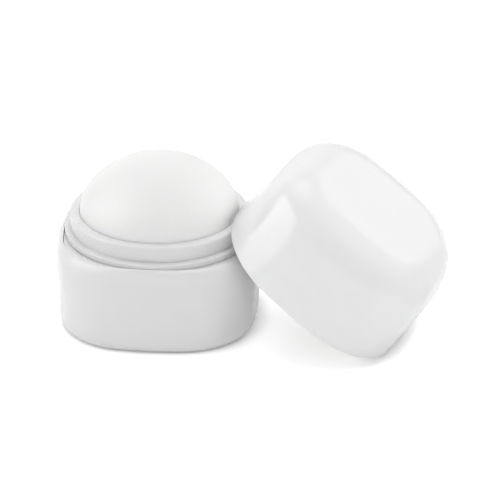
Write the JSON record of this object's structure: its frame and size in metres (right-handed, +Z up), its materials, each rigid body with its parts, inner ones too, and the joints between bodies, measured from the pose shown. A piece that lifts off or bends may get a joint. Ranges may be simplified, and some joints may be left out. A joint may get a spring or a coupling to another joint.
{
  "type": "lip balm container",
  "caption": "Rounded-cube lip balm container: a square base holding a round neck with a dome of balm, and its pulled-off cap leaning on the neck.",
  "frame": {"origin": "the middle of the base's flat foot, on the table", "axes": "+Z up along the base's axis, out of the neck; +X towards the side that the cap leans on; +Y away from the picture's viewer, to 4 degrees"},
  "size_m": [0.0727, 0.0443, 0.034],
  "materials": {
    "shell_white": "moulded, glossy",
    "collar_white": "moulded, semi-gloss",
    "inner_natural": "moulded, natural, unpolished",
    "balm_wax": "cast wax, satin"
  },
  "bodies": {
    "base": {"base_shell": "shell_white", "shoulder_collar": "collar_white", "neck_cup": "collar_white", "balm_anchor": "inner_natural", "balm": "balm_wax"},
    "cap": {"cap_shell": "shell_white", "cap_liner": "inner_natural"}
  },
  "joints": [
    {"name": "cap_lift", "type": "slide", "parent": "base", "child": "cap", "axis": [0.5818, -0.1429, 0.8007], "range_m": [0, 0.06]}
  ]
}
